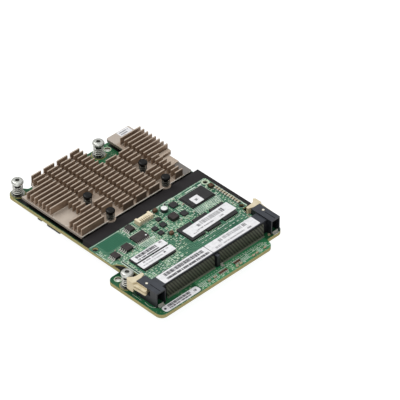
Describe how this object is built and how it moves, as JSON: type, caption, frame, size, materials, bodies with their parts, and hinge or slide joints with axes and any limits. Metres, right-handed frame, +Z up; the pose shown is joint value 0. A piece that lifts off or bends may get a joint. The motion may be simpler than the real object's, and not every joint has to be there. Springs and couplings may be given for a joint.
{
  "type": "raid controller card",
  "caption": "Server drive-controller mezzanine card with finned heat sink, plug-in cache module, ejector latches and captive spring screws.",
  "frame": {"origin": "middle of the card's outline at the level of the mezzanine connector's face, the lowest plane", "axes": "+X along the cache module's socket, +Y from the socket edge to the heat-sink edge, +Z up, away from the host board"},
  "size_m": [0.1019, 0.14, 0.0215],
  "materials": {
    "board_green": "satin solder mask on glass-fibre board",
    "module_green": "satin solder mask on glass-fibre board",
    "sink_bronze": "bronze anodised, satin",
    "chip_black": "moulded epoxy, matt",
    "pad_grey": "soft silicone, matt",
    "pin_black": "moulded nylon, satin",
    "spring_steel": "drawn wire",
    "film_black": "polyester sheet, matt",
    "socket_grey": "glass-filled nylon, satin",
    "contact_metal": "tinned and part gilded",
    "tinned_steel": "matt tin",
    "latch_ivory": "ivory nylon, satin",
    "label_white": "matt paper label",
    "part_dark": "ferrite and resin, matt",
    "part_tan": "fired ceramic, matt",
    "screw_steel": "bright nickel plate"
  },
  "bodies": {
    "card": {"main_board": "board_green", "heat_sink": "sink_bronze", "raid_processor": "chip_black", "thermal_pad": "pad_grey", "push_pins": "pin_black", "push_pin_springs": "spring_steel", "insulator_sheet": "film_black", "socket_housing": "socket_grey", "socket_contacts": "contact_metal", "socket_solder_tabs": "tinned_steel", "cache_board": "module_green", "flash_controller": "chip_black", "memory_chips": "chip_black", "module_labels": "label_white", "logic_chips": "chip_black", "bus_driver_chip": "chip_black", "regulator_chips": "chip_black", "storage_capacitor": "part_dark", "power_inductor": "part_dark", "small_transistors": "chip_black", "module_capacitors": "part_tan", "pack_header": "latch_ivory", "header_pins": "tinned_steel", "socket_labels": "label_white", "board_label": "label_white", "heat_sink_label": "label_white", "board_capacitors": "part_tan", "underside_chips": "chip_black", "mezzanine_connector": "socket_grey", "mezzanine_contacts": "contact_metal", "screw_ferrules": "screw_steel", "screw_spring_rear_left": "spring_steel", "screw_spring_rear_right": "spring_steel", "screw_spring_front_left": "spring_steel"},
    "latch_left": {"latch_left": "latch_ivory"},
    "latch_right": {"latch_right": "latch_ivory"},
    "ring_rear_left": {"screw_ring_rear_left": "spring_steel"},
    "bolt_rear_left": {"screw_rear_left": "screw_steel"},
    "ring_rear_right": {"screw_ring_rear_right": "spring_steel"},
    "bolt_rear_right": {"screw_rear_right": "screw_steel"},
    "ring_front_left": {"screw_ring_front_left": "spring_steel"},
    "bolt_front_left": {"screw_front_left": "screw_steel"}
  },
  "joints": [
    {"name": "latch_left_hinge", "type": "hinge", "parent": "card", "child": "latch_left", "pos_m": [-0.0456, -0.0523, 0.0174], "axis": [0, 0, 1], "range_deg": [0, 20]},
    {"name": "latch_right_hinge", "type": "hinge", "parent": "card", "child": "latch_right", "pos_m": [0.0456, -0.0523, 0.0174], "axis": [0, 0, -1], "range_deg": [0, 20]},
    {"name": "screw_rear_left_press", "type": "slide", "parent": "card", "child": "ring_rear_left", "axis": [0, 0, -1], "range_m": [0, 0.0028], "stiffness_N_per_m": 400, "springref_m": -0.001, "deforming": ["screw_spring_rear_left"]},
    {"name": "screw_rear_left_turn", "type": "hinge", "parent": "ring_rear_left", "child": "bolt_rear_left", "pos_m": [-0.0357, 0.0654, 0.0126], "axis": [0, 0, -1], "continuous": true},
    {"name": "screw_rear_right_press", "type": "slide", "parent": "card", "child": "ring_rear_right", "axis": [0, 0, -1], "range_m": [0, 0.0028], "stiffness_N_per_m": 400, "springref_m": -0.001, "deforming": ["screw_spring_rear_right"]},
    {"name": "screw_rear_right_turn", "type": "hinge", "parent": "ring_rear_right", "child": "bolt_rear_right", "pos_m": [0.0221, 0.0594, 0.0126], "axis": [0, 0, -1], "continuous": true},
    {"name": "screw_front_left_press", "type": "slide", "parent": "card", "child": "ring_front_left", "axis": [0, 0, -1], "range_m": [0, 0.0028], "stiffness_N_per_m": 400, "springref_m": -0.001, "deforming": ["screw_spring_front_left"]},
    {"name": "screw_front_left_turn", "type": "hinge", "parent": "ring_front_left", "child": "bolt_front_left", "pos_m": [-0.0465, -0.03765, 0.0126], "axis": [0, 0, -1], "continuous": true}
  ]
}
